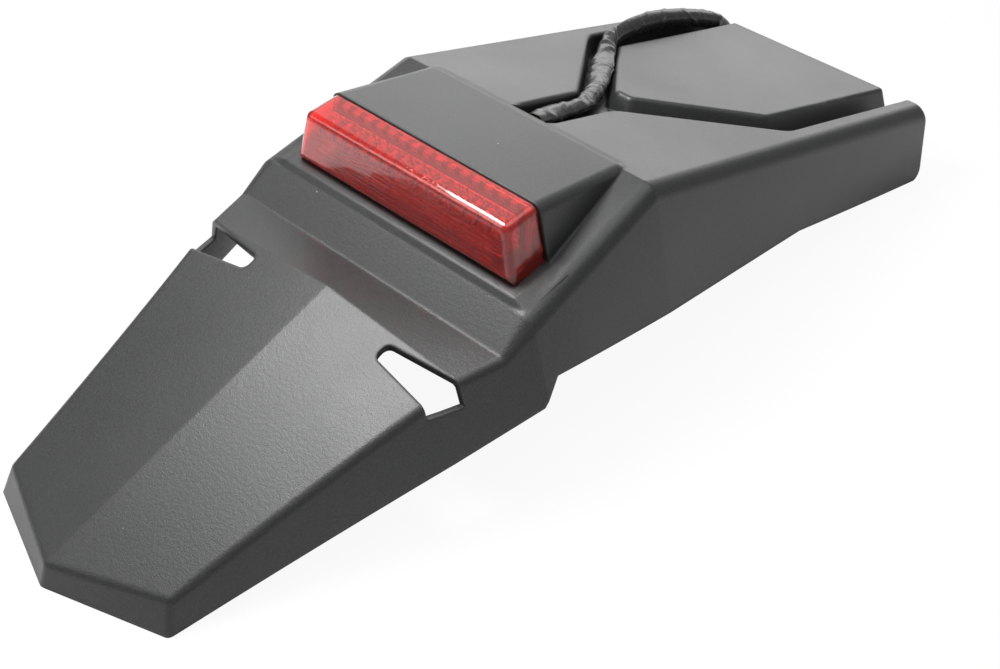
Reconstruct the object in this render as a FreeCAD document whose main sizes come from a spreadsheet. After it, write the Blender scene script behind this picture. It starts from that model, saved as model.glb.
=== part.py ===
import FreeCAD, Part
import math
import os
import Sketcher

# Motorcycle rear fender with built-in tail lamp and its wiring lead, in millimetres.
# X is across the machine, +Y points to its front, +Z is up, and the fender lies on Z = 0
# on its tail rim and the two front toes of its skirts.
# Lengths along Y are measured from the lamp's rear face and carry the word back or ahead.

V = FreeCAD.Vector
doc = FreeCAD.newDocument("rear_fender")
sheet = doc.addObject("Spreadsheet::Sheet", "dims")

SIZES = {
    # moulded shell, plan
    "tail_length": 180.5,       # lamp face back to the tip of the tail rim
    "deck_length": 270.5,       # lamp face ahead to the front edge
    "tail_half": 53.5,          # half width over the tail corners at the rim
    "tail_point": 18,           # how far the tip stands behind the corners
    "flare_half": 99,           # half width of the skirts at the lamp, carried down to Z = 0
    "front_half": 73.5,         # half width over the front toes
    "draft_tail": 14,           # lean of the skirts at the tail corners, degrees
    "draft_lamp": 15.6,         # lean at the lamp
    "draft_front": 2.3,         # lean at the front edge
    "draft_end": 20,            # lean of the pointed tail end
    "wall": 2.6,
    "wall_slant": 1.06,         # share by which a leaning wall is thicker across the level
    # moulded shell, heights
    "crease_tail": 8.5,         # centre crease of the tail plate over the tip
    "shelf_rise": 3,            # shelf's rear end over the foot of the slope
    "crease_fall": 4.1,         # fall of each half of the tail plate from its crease, degrees
    "shelf_back": 38,           # front end of the tail plate
    "seam_back": 46,            # change of edge rounding, inside the bracket notches
    "line_back": 18.4,          # crease between the flat shelf and the slope under the lamp
    "line_drop": 10.7,          # height of that slope
    "stage_back": 4.4,          # top of that slope
    "stage_drop": 21.7,         # top of the slope under the ridge
    "apex_ahead": 70,           # ridge across the fender
    "apex_height": 90.7,
    "front_height": 37.7,
    "deck_flat": 0.1,           # taken off the deck to leave it dead flat
    "tail_round": 4,            # rim, corners and tip of the tail
    "stage_round": 4,
    "shoulder_round": 8,
    # lower edge of the skirts
    "kink_low_back": 6.5,
    "kink_low_height": 33,
    "kink_high_ahead": 2.6,
    "kink_high_height": 42.5,
    "bend_ahead": 165,
    "bend_height": 24.3,
    "toe_drop": 0.76,           # taken up again by the rounding of the toe
    "toe_round": 5,
    # notches for the number plate bracket
    "notch_inner": 38.8,        # half distance between the closed ends
    "notch_back": 45.1,
    "notch_half": 3.5,          # half width at the closed end
    "notch_flare": 6.8,         # opening angle of each flank, degrees
    "notch_floor": 45.6,
    "notch_round": 3.2,
    # lamp hood
    "lens_gap": 0.8,            # shadow gap between lens and hood
    "hood_foot_half": 64.3,
    "hood_top_half": 58.9,
    "hood_rise": 8.7,           # height of the hood over the ridge
    "hood_end_half": 54.2,
    "hood_end_rise": 1.2,
    "hood_fall": 7,             # length of the soft step from hood to deck
    "hood_round": 5,
    # seat under the lens, floor opening and wire port
    "seat_back": 2,
    "seat_toe": 2.2,            # length of the lip's slope
    "seat_half": 74,            # half width at the foot of the lip
    "seat_top_half": 66.5,
    "seat_rise": 2.2,           # height of the seat's rear edge over the slope
    "opening_near": 39,
    "opening_far": 66,
    "opening_half": 46,
    "port_half": 8.8,
    # channel, plateau and side valleys of the deck
    "channel_ahead": 74,
    "channel_half": 10,
    "channel_turn": 114.5,      # where the channel parts to both sides
    "valley_turn": 175.8,       # where it runs into the side valleys
    "valley_half": 59,
    "channel_round": 12,
    "bank_draft": 5,
    "plateau_ahead": 134,
    "plateau_tip_half": 4,
    "plateau_turn": 180,
    "plateau_half": 43.5,
    "plateau_front_half": 46,
    "plateau_round": 4,
    "plateau_draft": 24,
    "deck_round": 2,            # upper edges of channel, valleys and plateau
    "groove_rear": 7.5,         # depth of the channel at the wire port
    "groove_front": 13,         # depth of the valleys at the front edge
    # lamp lens
    "lens_depth": 18.7,
    "lens_half": 63,
    "lens_top_half": 57.4,
    "lens_lean": 2.4,           # front face leans back by this much
    "lens_drop_rear": 2.4,      # the lens's top under the hood's, at the rear
    "lens_drop_hood": 0.4,      # the same at the hood
    "lens_wall": 2.2,
    "lens_round": 3.5,
    "rib_count": 6,
    "rib_pitch": 2.3,
    "rib_size": 0.9,
    "rib_first": 3.9,           # height of the lowest rib over the seat
    # lamp inside
    "fit": 0.3,                 # clearance between fitted pieces
    "housing_plate": 2.5,
    "housing_body": 3.6,
    "housing_foot": 2.4,
    "foot_length": 14,
    "boss_half": 45,            # half distance between the two lamp screws
    "boss_ahead": 31,
    "boss_radius": 3.4,
    "boss_height": 8,
    "screw_radius": 1.45,
    "screw_length": 11,
    "head_radius": 3.2,
    "head_height": 2,
    "hole_radius": 1.8,
    "slot_length": 3.6,
    "slot_width": 0.9,
    "board_half": 53,
    "board_low": 0.1,           # shares of the height between lamp floor and lamp top
    "board_high": 1,
    "board_thick": 1.6,
    "pin_place": 46,            # half distance between the housing's two pins
    "pin_half": 1,
    "pin_head": 0.7,
    "standoff_half": 1.6,
    "standoff_gap": 1,
    "led_count": 15,
    "led_pitch": 6.9,
    "led_share": 0.684,
    "led_radius": 2.5,
    "led_length": 6.6,
    "led_sides": 12,
    "cell_depth": 7.6,
    "cell_wall": 0.8,
    "cell_gap": 1.9,            # from diode to shelf
    "cell_share": 0.96,
    # wiring lead
    "wire_radius": 0.9,
    "wire_spread": 2.1,
    "wire_drop": 5.3,           # under the ridge
    "sleeve_mouth": 7,          # mouth of the sleeve ahead of the ridge
    "wire_short": 1.2,          # the slanting mouth starts this much further back
    "sleeve_diameter": 8.4,
    "sleeve_sides": 14,
    "plug_width": 9,
    "plug_depth": 7,
    "plug_length": 14,
    "plug_round": 1.2,
    # construction
    "block_height": 120,
    "block_half": 130,
    "below": 20,
    "past": 12,
}

# Sizes that follow from the others
DERIVED = {
    "stage_height": "=apex_height - stage_drop",
    "line_height": "=stage_height - line_drop",
    "crease_shelf": "=line_height + shelf_rise",
    "hood_height": "=apex_height + hood_rise",
    "hood_end_height": "=apex_height + hood_end_rise",
    "lens_top_front": "=hood_height - lens_drop_rear",
    "lens_top_rear": "=hood_height - lens_drop_hood",
    "wire_height": "=apex_height - wire_drop",
    "strip_slope": "=(apex_height - stage_height) / (apex_ahead + stage_back)",
    "deck_slope": "=(apex_height - front_height) / (deck_length - apex_ahead)",
    "floor_slope": "=deck_slope + (groove_front - groove_rear) / (deck_length - apex_ahead)",
    "seat_slope": "=strip_slope - seat_rise / (lens_depth + lens_gap + seat_back)",
    "seat_rear": "=stage_height + strip_slope * (stage_back - seat_back) + seat_rise",
    "lamp_floor": "=seat_rear + seat_slope * (lens_depth + seat_back) + fit + lens_wall",
    "lamp_top": "=lens_top_front - lens_wall",
    "board_bottom": "=lamp_floor + board_low * (lamp_top - lamp_floor)",
    "board_top": "=lamp_floor + board_high * (lamp_top - lamp_floor)",
    "led_height": "=lamp_floor + led_share * (lamp_top - lamp_floor)",
    "cell_top": "=lamp_floor + cell_share * (lamp_top - lamp_floor)",
    "cell_shelf": "=led_height - led_radius - cell_gap - cell_wall",
}

for row, (alias, value) in enumerate((SIZES | DERIVED).items(), start=1):
    sheet.set(f"A{row}", alias)
    sheet.set(f"B{row}", str(value))
    sheet.setAlias(f"B{row}", alias)
doc.recompute()

# Formulas shared by several pieces. DATUM moves the lamp face to its place behind the middle.
DATUM = "(dims.tail_length - dims.deck_length) / 2"
CORNER_BACK = "(dims.tail_length - dims.tail_point)"
ROOF = "tan(dims.crease_fall * 1 deg)"
BANK_TURN = "atan((dims.valley_half - dims.channel_half) / (dims.valley_turn - dims.channel_turn))"
PLATEAU_TURN = "atan((dims.plateau_half - dims.plateau_tip_half) / (dims.plateau_turn - dims.plateau_ahead))"
GROOVE = "((dims.groove_rear + dims.groove_front) / 2)"


def size(alias):
    return float(sheet.get(alias))


def strip_height(ahead):
    return f"(dims.stage_height + dims.strip_slope * ({ahead} + dims.stage_back))"


def seat_height(ahead):
    return f"(dims.seat_rear + dims.seat_slope * ({ahead} + dims.seat_back))"


def crease_height(back):
    rise = "(dims.crease_shelf - dims.crease_tail) / (dims.tail_length - dims.shelf_back)"
    return f"(dims.crease_shelf - {rise} * ({back} - dims.shelf_back))"


def between(first, last, share):
    return f"({first} + ({last} - {first}) * {share})"


def skirt(ahead, in_front):
    # half width at Z = 0 and lean of the skirt at a distance ahead of the lamp face
    if in_front:
        share = f"(({ahead}) / dims.deck_length)"
        lean = ("tan(dims.draft_lamp * 1 deg)", "tan(dims.draft_front * 1 deg)")
        return between("dims.flare_half", "dims.front_half", share), between(*lean, share)
    share = f"((({ahead}) + {CORNER_BACK}) / {CORNER_BACK})"
    lean = ("tan(dims.draft_tail * 1 deg)", "tan(dims.draft_lamp * 1 deg)")
    return between("dims.tail_half", "dims.flare_half", share), between(*lean, share)


# Sketches, solids and booleans as objects of the document
VIEWS = {
    "plan": FreeCAD.Rotation(),
    "front": FreeCAD.Rotation(V(1, 0, 0), 90),
    "side": FreeCAD.Rotation(V(1, 1, 1), 120),
}


def outline(name, view, corners, offset="0", rounds=None):
    # closed outline whose corners, and the radii of the rounded ones, are formulas of the sheet
    sketch = doc.addObject("Sketcher::SketchObject", name)
    count = len(corners)
    seed = size("block_half")
    turns = [math.tau * i / count for i in range(count)]
    points = [V(seed * math.cos(turn), seed * math.sin(turn), 0) for turn in turns]
    for i in range(count):
        sketch.addGeometry(Part.LineSegment(points[i], points[(i + 1) % count]))
    for i in range(count):
        sketch.addConstraint(Sketcher.Constraint("Coincident", i, 2, (i + 1) % count, 1))
    for i, (across, along) in enumerate(corners):
        if view == "side":
            across = f"{across} + {DATUM}"
        if view == "plan":
            along = f"{along} + {DATUM}"
        for kind, formula in (("DistanceX", across), ("DistanceY", along)):
            index = sketch.addConstraint(Sketcher.Constraint(kind, -1, 1, i, 1, seed))
            sketch.setExpression(f"Constraints[{index}]", formula)
    sketch.Placement = FreeCAD.Placement(V(), VIEWS[view])
    axis = {"plan": "z", "front": "y", "side": "x"}[view]
    if view == "front":
        offset = f"{offset} + {DATUM}"
    sketch.setExpression(f".Placement.Base.{axis}", offset)
    doc.recompute()
    for corner, radius in (rounds or {}).items():
        sketch.fillet(corner, 1, size("fit"), True, True)
        arc = sketch.GeometryCount - 2
        index = sketch.addConstraint(Sketcher.Constraint("Radius", arc, size("fit")))
        sketch.setExpression(f"Constraints[{index}]", radius)
    doc.recompute()
    return sketch


def mirrored(half):
    # both sides of an outline from the corners of its right side, listed from the rear
    left = [(f"-({across})", along) for across, along in reversed(half) if across != "0"]
    return half + left


def loft(name, sections):
    solid = doc.addObject("Part::Loft", name)
    solid.Sections = sections
    solid.Ruled = True
    solid.Solid = True
    return solid


def extrude(name, sketch, length, both_ways=False):
    solid = doc.addObject("Part::Extrusion", name)
    solid.Base = sketch
    solid.DirMode = "Normal"
    solid.Solid = True
    solid.Symmetric = both_ways
    solid.setExpression("LengthFwd", length)
    return solid


def combine(kind, name, pieces):
    solid = doc.addObject(f"Part::Multi{kind}", name)
    solid.Shapes = pieces
    solid.Refine = True
    return solid


def cut(name, base, tool):
    solid = doc.addObject("Part::Cut", name)
    solid.Base = base
    solid.Tool = tool
    solid.Refine = True
    return solid


def block(name, lengths, corner):
    solid = doc.addObject("Part::Box", name)
    for prop, formula in zip(("Length", "Width", "Height"), lengths):
        solid.setExpression(prop, formula)
    for axis, formula in zip("xyz", corner):
        solid.setExpression(f".Placement.Base.{axis}", formula)
    return solid


def rod(name, radius, length, base, turn):
    solid = doc.addObject("Part::Cylinder", name)
    solid.setExpression("Radius", radius)
    solid.setExpression("Height", length)
    solid.Placement = FreeCAD.Placement(V(), FreeCAD.Rotation(V(1, 0, 0), 90))
    solid.setExpression(".Placement.Rotation.Angle", turn)
    for letter, formula in zip("xyz", base):
        solid.setExpression(f".Placement.Base.{letter}", formula)
    return solid


def looks(shape, edge):
    # outward directions of the two faces that meet at an edge
    middle = edge.valueAt((edge.FirstParameter + edge.LastParameter) / 2)
    found = []
    for face in shape.ancestorsOfType(edge, Part.Face):
        found.append(face.normalAt(*face.Surface.parameter(middle)))
    return found


def rounded(name, base, steps):
    # body that takes over a solid and rounds the edges that each step's test picks
    body = doc.addObject("PartDesign::Body", name)
    body.BaseFeature = base
    doc.recompute()
    last = body.Group[0]
    for number, (radius, test) in enumerate(steps, start=1):
        shape = last.Shape
        picked = []
        for index, edge in enumerate(shape.Edges, start=1):
            faces = looks(shape, edge)
            if len(faces) == 2 and test(edge, *faces):
                picked.append(f"Edge{index}")
        fillet = body.newObject("PartDesign::Fillet", f"{name}_round_{number}")
        fillet.Base = (last, picked)
        fillet.setExpression("Radius", radius)
        body.Tip = fillet
        doc.recompute()
        last = fillet
    return body


def finished(label, solid):
    solid.Label = label
    return label, solid


# Shell: the part ahead of the notches, as cross sections with rounded shoulders
def deck_section(name, ahead, in_front, centre, roof, radius, inset):
    half, lean = skirt(ahead, in_front)
    half = f"({half} - {inset} * dims.wall)"
    top = f"({centre} - {inset} * dims.wall)"
    shoulder = f"(({half} - {lean} * {top}) / (1 - {lean} * {roof}))"
    height = f"({top} - {roof} * {shoulder})"
    foot = (f"({half} + {lean} * dims.below)", "-dims.below")
    if inset == 0:
        right = [foot, (shoulder, height), ("0", top)]
        return outline(name, "front", mirrored(right), ahead, {1: radius, 3: radius})
    # inside, a bevel that leaves the wall even at the middle of the outer rounding
    bevel = f"((2 - sqrt(2)) * ({radius} - dims.wall))"
    right = [
        foot,
        (f"({shoulder} + {lean} * {bevel})", f"({height} - {bevel})"),
        (f"({shoulder} - {bevel})", f"({height} + {roof} * {bevel})"),
        ("0", top),
    ]
    return outline(name, "front", mirrored(right), ahead)


def deck_block(name, inset):
    front = "(dims.deck_length + dims.past)"
    stations = [
        ("(-dims.seam_back)", False, crease_height("dims.seam_back"), ROOF, "dims.stage_round"),
        ("(-dims.shelf_back)", False, "dims.crease_shelf", ROOF, "dims.stage_round"),
        ("(-dims.line_back)", False, "dims.line_height", "0", "dims.stage_round"),
        ("(-dims.stage_back)", False, "dims.stage_height", "0", "dims.shoulder_round"),
        ("dims.apex_ahead", True, "dims.apex_height", "0", "dims.shoulder_round"),
        (front, True, f"(dims.front_height - dims.deck_slope * dims.past)", "0", "dims.shoulder_round"),
    ]
    sections = []
    for number, station in enumerate(stations, start=1):
        sections.append(deck_section(f"{name}_section_{number}", *station, inset))
    return loft(name, sections)


# Shell: the tail plate, a pointed box with leaning sides under a creased roof
def tail_plan(name, height, inset):
    end = f"{height} * tan(dims.draft_end * 1 deg) + {inset} * dims.wall"
    half, lean = skirt("(-dims.seam_back)", False)
    side = f"{height} * tan(dims.draft_tail * 1 deg) + {inset} * dims.wall"
    right = [
        ("0", f"-dims.tail_length + {end}"),
        (f"dims.tail_half - ({side})", f"-{CORNER_BACK} + {end}"),
        (f"{half} - {lean} * {height} - {inset} * dims.wall", "-dims.seam_back"),
    ]
    return outline(name, "plan", mirrored(right), height)


def tail_roof(name, inset):
    sections = []
    rear = "(dims.tail_length + dims.past)"
    for number, back in enumerate(("dims.seam_back", rear), start=1):
        top = f"({crease_height(back)} - {inset} * dims.wall)"
        corners = [
            ("dims.block_half", "-dims.below"),
            ("dims.block_half", f"{top} - {ROOF} * dims.block_half"),
            ("0", top),
            ("-dims.block_half", f"{top} - {ROOF} * dims.block_half"),
            ("-dims.block_half", "-dims.below"),
        ]
        sections.append(outline(f"{name}_section_{number}", "front", corners, f"(-{back})"))
    return loft(name, sections)


def tail_block(name, inset):
    plans = []
    for number, height in enumerate(("(-dims.below)", "dims.block_height"), start=1):
        plans.append(tail_plan(f"{name}_plan_{number}", height, inset))
    return combine("Common", name, [loft(f"{name}_sides", plans), tail_roof(f"{name}_roof", inset)])


def tail_edges(edge, first, second):
    # rim of the tail plate and its upright corners, away from the seam
    high, low = max(first.z, second.z), min(first.z, second.z)
    return abs(low) < 0.5 and max(first.y, second.y) < 0.9 and (high > 0.8 or high < 0.5)


tail_outer = rounded("tail_outer", tail_block("tail_box", 0), [("dims.tail_round", tail_edges)])
outer = combine("Fuse", "shell_outer", [tail_outer, deck_block("deck_outer", 0)])
hollow = "dims.wall_slant"
inner = combine("Fuse", "shell_inner", [tail_block("tail_inner", hollow), deck_block("deck_inner", hollow)])


def deck_height(ahead):
    return f"(dims.apex_height - dims.deck_flat - dims.deck_slope * ({ahead} - dims.apex_ahead))"


flat_ends = ("(dims.apex_ahead - dims.past)", "(dims.deck_length + 2 * dims.past)")
flat = extrude("deck_plane", outline("deck_plane_profile", "side", [
    (flat_ends[0], deck_height(flat_ends[0])),
    (flat_ends[1], deck_height(flat_ends[1])),
    (flat_ends[1], "dims.block_height"),
    (flat_ends[0], "dims.block_height"),
]), "2 * dims.block_half", True)
skin = cut("skin", outer, combine("Fuse", "skin_cuts", [inner, flat]))


# Hood over the rear of the lamp, open to the lens
def hood_section(name, ahead, foot, top, foot_height, height, inset):
    reach = f"({inset} * dims.past)"
    spread = f"({foot} - {top}) / ({height} - {foot_height}) * {reach}"
    right = [
        (f"{foot} + {spread} - {inset} * dims.wall", f"{foot_height} - {reach}"),
        (f"{top} - {inset} * dims.wall", f"{height} - {inset} * dims.wall"),
    ]
    bends = {1: "dims.hood_round", 2: "dims.hood_round"} if inset == 0 else {}
    return outline(name, "front", mirrored(right), ahead, bends)


def hood_block(name, inset):
    rear = "(dims.lens_depth + dims.lens_gap)"
    fall = "(dims.hood_height - dims.hood_end_height) / (dims.apex_ahead - dims.lens_depth - dims.lens_gap)"
    end_half = "(dims.hood_end_half + dims.wall)"
    half_wall = "dims.wall / 2"
    mouth = f"({rear} - {inset} * dims.fit)"
    sections = [hood_section(f"{name}_section_1", mouth, "dims.hood_foot_half", "dims.hood_top_half",
                             f"({strip_height(rear)} - {half_wall})", "dims.hood_height", inset)]
    near = f"(dims.apex_ahead - {inset} * dims.wall)"
    height = f"(dims.hood_end_height + {fall} * {inset} * dims.wall)"
    sections.append(hood_section(f"{name}_section_2", near, end_half, "dims.hood_end_half",
                                 f"(dims.apex_height - {half_wall})", height, inset))
    if inset == 0:
        far = "(dims.apex_ahead + dims.hood_fall)"
        deck = f"(dims.apex_height - dims.deck_slope * dims.hood_fall)"
        sections.append(hood_section(f"{name}_section_3", far, end_half, "dims.hood_end_half",
                                     f"({deck} - dims.wall)", f"({deck} - dims.fit)", inset))
    return loft(name, sections)


hood = cut("hood", hood_block("hood_outer", 0), hood_block("hood_inner", 1))

# Seat that fills the wedge between the slope and the lens, with a sloping lip all round
def seat_section(name, ahead, rise):
    level = strip_height(ahead)
    right = [
        ("dims.seat_half", f"{level} - dims.fit"),
        ("dims.seat_top_half", f"{level} + {rise}"),
    ]
    return outline(name, "front", mirrored(right), ahead)


seat_end = "(dims.lens_depth + dims.lens_gap)"
seat = loft("seat", [
    seat_section("seat_toe_section", "(-dims.seat_back - dims.seat_toe)", "dims.fit / 10"),
    seat_section("seat_lip_section", "(-dims.seat_back)", "dims.seat_rise"),
    seat_section("seat_end_section", seat_end, "dims.fit / 10"),
])


# Channel for the lead, which parts round a plateau into two valleys open to the front
def deck_outline(name, corners, slope, drop, rounds):
    # outline on a plane that falls to the front, drawn by its distances ahead in plan
    lowered = f"dims.apex_height - ({drop})"
    along = [(across, f"({ahead} - dims.apex_ahead) / cos(atan({slope}))") for across, ahead in corners]
    sketch = outline(name, "front", along, "dims.apex_ahead", rounds)
    sketch.Placement = FreeCAD.Placement(V(), FreeCAD.Rotation(V(-1, 0, 0), 10))
    sketch.setExpression(".Placement.Rotation.Angle", f"atan({slope})")
    sketch.setExpression(".Placement.Base.z", lowered)
    doc.recompute()
    return sketch


def bank_corners(grow):
    turn = f"tan({BANK_TURN} / 2) * ({grow})"
    far = "(dims.deck_length + dims.past)"
    return mirrored([
        (f"dims.channel_half + {grow}", f"(dims.channel_ahead - ({grow}))"),
        (f"dims.channel_half + {grow}", f"(dims.channel_turn - {turn})"),
        (f"dims.valley_half + {grow}", f"(dims.valley_turn - {turn})"),
        (f"dims.valley_half + {grow}", far),
    ])


def plateau_corners(grow):
    tip = f"tan((90 deg - {PLATEAU_TURN}) / 2) * ({grow})"
    turn = f"tan({PLATEAU_TURN} / 2) * ({grow})"
    far = "(dims.deck_length + 2 * dims.past)"
    return mirrored([
        (f"dims.plateau_tip_half + {tip}", f"(dims.plateau_ahead - ({grow}))"),
        (f"dims.plateau_half + {grow}", f"(dims.plateau_turn - {turn})"),
        (f"dims.plateau_front_half + {grow}", far),
    ])


def deck_solid(name, corners, draft, grow, lifts, rounds):
    # straight above the deck, drafted from the deck down to the sloping groove floor
    deeper = "dims.groove_rear + dims.wall" if grow != "0" else "dims.groove_rear"
    sections = []
    for number, lift in enumerate(lifts, start=1):
        top = deck_outline(f"{name}_top_{number}", corners(grow), "dims.deck_slope", f"-({lift})", rounds)
        sections.append(top)
    drafted = f"({grow} + {draft})"
    sections.append(deck_outline(f"{name}_floor", corners(drafted), "dims.floor_slope", deeper, rounds))
    return loft(name, sections)


bank_slant = f"(-{GROOVE} * tan(dims.bank_draft * 1 deg))"
plateau_slant = f"({GROOVE} * tan(dims.plateau_draft * 1 deg))"
bank_rounds = {i: "dims.channel_round" for i in (1, 2, 5, 6)}
plateau_rounds = {i: "dims.plateau_round" for i in (0, 1, 4, 5)}
open_up = ("2 * dims.wall", "0")
groove = cut(
    "groove",
    deck_solid("bank", bank_corners, bank_slant, "0", open_up, bank_rounds),
    deck_solid("plateau", plateau_corners, plateau_slant, "0", open_up, plateau_rounds),
)
in_skin = ("-dims.wall / 2",)
tray = cut(
    "tray",
    deck_solid("tray_bank", bank_corners, bank_slant, "dims.wall", in_skin, {}),
    deck_solid("tray_plateau", plateau_corners, plateau_slant, "(-dims.wall)", in_skin, {}),
)

# Side view of the whole shell: its lower edge with the kink, and the rounded front toe
profile = extrude("profile", outline("side_profile", "side", [
    ("-dims.tail_length - dims.past", "0"),
    (f"-{CORNER_BACK}", "0"),
    ("-dims.kink_low_back", "dims.kink_low_height"),
    ("dims.kink_high_ahead", "dims.kink_high_height"),
    ("dims.bend_ahead", "dims.bend_height"),
    ("dims.deck_length", "-dims.toe_drop"),
    ("dims.deck_length", "dims.block_height"),
    ("-dims.tail_length - dims.past", "dims.block_height"),
], "0", {5: "dims.toe_round"}), "2 * dims.block_half", True)

# Openings of the shell
sides = (("right", ""), ("left", "-"))
flare = "tan(dims.notch_flare * 1 deg)"
reach = f"(dims.notch_half + {flare} * (dims.block_half - dims.notch_inner))"
notches = []
for side, sign in sides:
    notch = outline(f"notch_plan_{side}", "plan", [
        (f"{sign}dims.notch_inner", "-dims.notch_back - dims.notch_half"),
        (f"{sign}dims.block_half", f"-dims.notch_back - {reach}"),
        (f"{sign}dims.block_half", f"-dims.notch_back + {reach}"),
        (f"{sign}dims.notch_inner", "-dims.notch_back + dims.notch_half"),
    ], "dims.notch_floor", {0: "dims.notch_round", 3: "dims.notch_round"})
    notches.append(extrude(f"notch_{side}", notch, "dims.block_height"))
opening = extrude("opening", outline("opening_profile", "side", [
    ("dims.opening_near", strip_height("dims.opening_near") + " - 2 * dims.wall"),
    ("dims.opening_far", strip_height("dims.opening_far") + " - 2 * dims.wall"),
    ("dims.opening_far", strip_height("dims.opening_far") + " + dims.fit / 2"),
    ("dims.opening_near", strip_height("dims.opening_near") + " + dims.wall"),
]), "2 * dims.opening_half", True)
port_floor = "(dims.apex_height - dims.groove_rear)"
port = block(
    "port",
    ("2 * dims.port_half", "3 * dims.wall", "dims.groove_rear - 1.5 * dims.wall"),
    ("-dims.port_half", f"dims.channel_ahead - 2 * dims.wall + {DATUM}", f"{port_floor} - dims.fit"),
)


def on_floor(side, over):
    # place on the axis of a lamp screw, a distance over the sloping lamp floor
    lean = f"atan(dims.strip_slope)"
    return (
        f"{side}dims.boss_half",
        f"dims.boss_ahead - ({over}) * sin({lean}) + {DATUM}",
        f"{strip_height('dims.boss_ahead')} + ({over}) * cos({lean})",
    )


def floor_rod(name, side, radius, start, length):
    return rod(name, radius, length, on_floor(side, start), f"atan(dims.strip_slope)")


holes = []
for side, sign in sides:
    hole = floor_rod(f"floor_hole_{side}", sign, "dims.hole_radius", "-2 * dims.wall", "4 * dims.wall")
    holes.append(hole)

shell_solid = combine("Fuse", "shell_solid", [skin, hood, seat, tray])
shell_trim = combine("Common", "shell_trim", [shell_solid, profile])
shell_openings = combine("Fuse", "shell_openings", [groove, *notches, opening, port, *holes])
shell_sharp = cut("shell_sharp", shell_trim, shell_openings)


def deck_edges(edge, first, second):
    # upper edges of plateau and channel banks, where a wall drops from the flat deck
    deck_lean = math.atan(size("deck_slope"))
    deck_normal = V(0, math.sin(deck_lean), math.cos(deck_lean))
    flat_faces = [normal.dot(deck_normal) > 0.9999 for normal in (first, second)]
    wall_face = second if flat_faces[0] else first
    upright = abs(wall_face.z) < 0.6 and wall_face.y < 0.9
    middle = edge.valueAt((edge.FirstParameter + edge.LastParameter) / 2)
    beside = abs(middle.x) < size("valley_half") + size("fit")
    in_front = middle.z > size("notch_floor") - size("past")
    return flat_faces.count(True) == 1 and upright and beside and in_front


shell = rounded("shell", shell_sharp, [("dims.deck_round", deck_edges)])
pieces = [finished("fender_shell", shell)]


# Lamp lens: a shallow box, open to the front, standing on the seat
def lens_trapezoid(name, inset, length, ahead):
    low = f"{seat_height('0')} - dims.past"
    lean = f"((dims.lens_half - dims.lens_top_half) / (dims.lens_top_rear - {seat_height('0')}))"
    right = [
        (f"dims.lens_half + {lean} * dims.past - {inset}", low),
        (f"dims.lens_top_half - {lean} * dims.past - {inset}", "dims.lens_top_rear + dims.past"),
    ]
    return extrude(name, outline(f"{name}_outline", "front", mirrored(right), ahead), length)


def lens_block(name, inset, back):
    rise = "((dims.lens_top_rear - dims.lens_top_front) / (dims.lens_depth - dims.lens_lean))"
    profile_side = extrude(f"{name}_side", outline(f"{name}_profile", "side", [
        (inset, f"{seat_height(inset)} + dims.fit + {inset}"),
        (f"{inset} + dims.lens_lean", f"dims.lens_top_front - {inset}"),
        (back, f"dims.lens_top_front - {inset} + {rise} * ({back} - dims.lens_lean)"),
        (back, f"{seat_height(back)} + dims.fit + {inset}"),
    ]), "2 * dims.block_half", True)
    ends = lens_trapezoid(f"{name}_ends", inset, "2 * dims.block_half", "dims.block_half")
    return combine("Common", name, [profile_side, ends])


def lens_edges(edge, first, second):
    # edges round the rear face and along the top's two ends
    if min(first.y, second.y) < -0.9:
        return True
    high, low = max(first.z, second.z), min(first.z, second.z)
    return high > 0.9 and abs(low) < 0.5 and max(first.y, second.y) < 0.5


lens_outer = rounded("lens_outer", lens_block("lens_box", "0", "dims.lens_depth"),
                     [("dims.lens_round", lens_edges)])
lens_inner = lens_block("lens_inner", "dims.lens_wall", "(dims.lens_depth + dims.past)")
ribs = []
rib_half = "(dims.lens_top_half - 3 * dims.lens_wall)"
for number in range(int(size("rib_count"))):
    height = f"({seat_height('0')} + dims.rib_first + {number} * dims.rib_pitch)"
    lean = f"dims.lens_lean * ({height} - {seat_height('0')}) / (dims.lens_top_front - {seat_height('0')})"
    near = f"{lean} + dims.lens_wall - dims.rib_size / 2 + {DATUM}"
    ribs.append(block(f"lens_rib_{number}", (f"2 * {rib_half}", "dims.rib_size", "dims.rib_size"),
                      (f"-{rib_half}", near, height)))
lens = combine("Fuse", "lens", [cut("lens_shell", lens_outer, lens_inner), *ribs])
pieces.append(finished("lamp_lens", lens))

# Lamp housing: plug in the lens, flange behind it, foot with bosses on the lamp floor
plug_near = "(dims.lens_depth - dims.housing_plate)"
lens_hole = "(dims.lens_wall + dims.fit)"
plug = combine("Common", "housing_plug", [
    lens_block("housing_plug_box", lens_hole, "dims.lens_depth"),
    block("housing_plug_cut", ("2 * dims.block_half", "dims.housing_plate", "dims.block_height"),
          ("-dims.block_half", f"{plug_near} + {DATUM}", "0")),
])
flange_far = "(dims.lens_depth + dims.housing_body)"
hood_foot = strip_height(seat_end)
hood_slim = f"((dims.hood_foot_half - dims.hood_top_half) / (dims.hood_height - {hood_foot}))"
clear = "(dims.wall + 4 * dims.fit)"
flange_low = strip_height(flange_far)
flange = extrude("housing_flange", outline("housing_flange_outline", "front", mirrored([
    (f"dims.hood_foot_half - {hood_slim} * ({flange_low} - {hood_foot}) - {clear}", flange_low),
    (f"dims.hood_top_half - {clear}", f"dims.hood_height - {clear}"),
]), flange_far), "dims.housing_body")
foot_far = f"({flange_far} + dims.foot_length)"
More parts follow.
